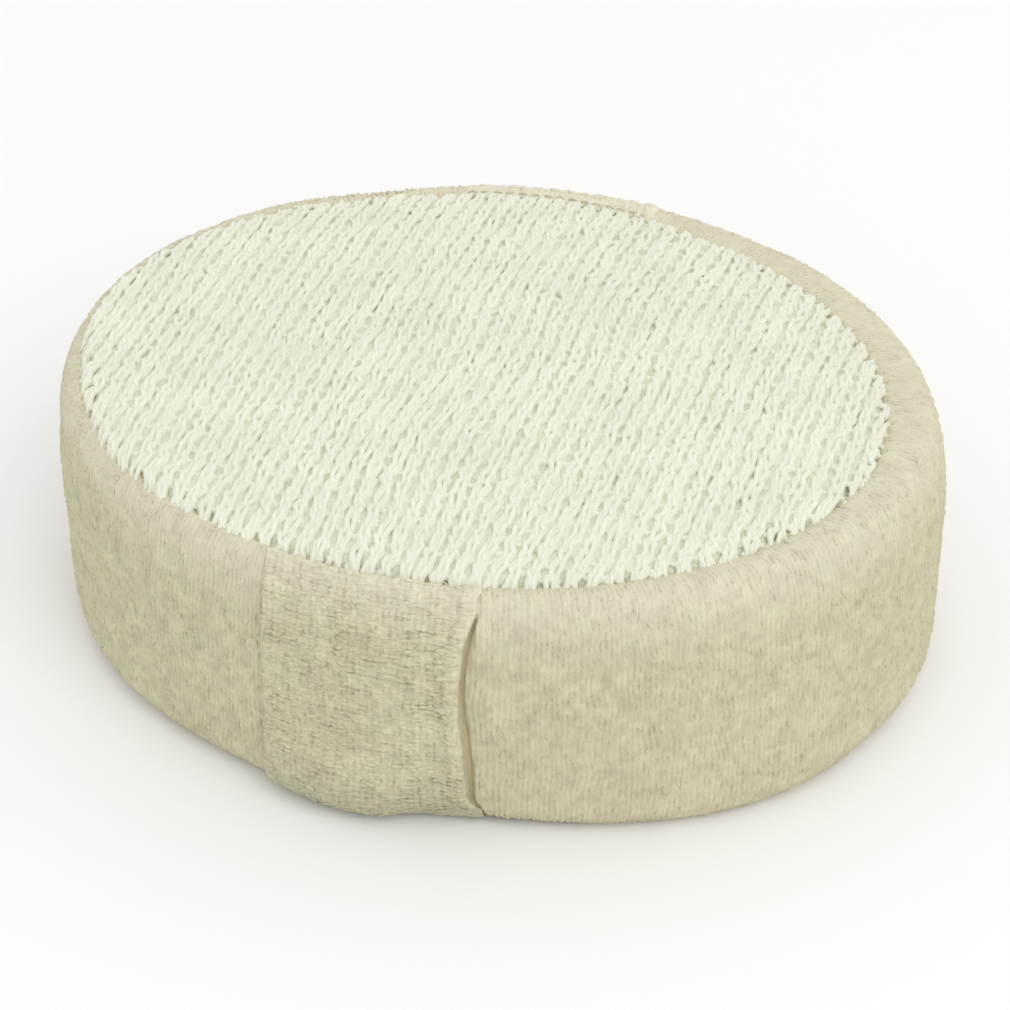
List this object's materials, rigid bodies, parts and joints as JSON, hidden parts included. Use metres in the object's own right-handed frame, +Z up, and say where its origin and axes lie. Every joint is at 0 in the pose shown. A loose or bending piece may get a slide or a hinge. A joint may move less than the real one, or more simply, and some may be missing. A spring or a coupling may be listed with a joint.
{
  "type": "bath sponge",
  "caption": "Oval foam bath sponge with a coarse knitted scrubbing face, a soft terry side band and an elastic hand strap across its back.",
  "frame": {"origin": "under the middle of the oval, on the surface the sponge lies on", "axes": "+X along the long axis, towards the end where the band's rim is widest; +Y away from the strap end that shows in the usual view; +Z up, out of the scrubbing face"},
  "size_m": [0.14, 0.1148, 0.0475],
  "materials": {
    "foam": "open-cell polyurethane foam, pale yellow, hidden",
    "face_knit": "coarse off-white knit of thick soft yarn",
    "band_terry": "beige short-loop terry knit",
    "back_terry": "beige short-loop terry knit",
    "strap_knit": "beige ribbed elastic knit",
    "thread": "cream sewing thread"
  },
  "bodies": {
    "strap": {"strap_span": "strap_knit"},
    "sponge": {"foam_core": "foam", "face_panel": "face_knit", "face_seam_thread": "thread", "side_band": "band_terry", "back_seam_thread": "thread", "back_panel": "back_terry", "strap_front_leg": "strap_knit", "strap_front_tack": "thread", "strap_rear_leg": "strap_knit", "strap_rear_tack": "thread"}
  },
  "joints": [
    {"name": "strap_stretch", "type": "slide", "parent": "strap", "child": "sponge", "axis": [0, 0, 1], "range_m": [0, 0.025], "stiffness_N_per_m": 150, "deforming": ["strap_front_leg", "strap_rear_leg"]}
  ]
}
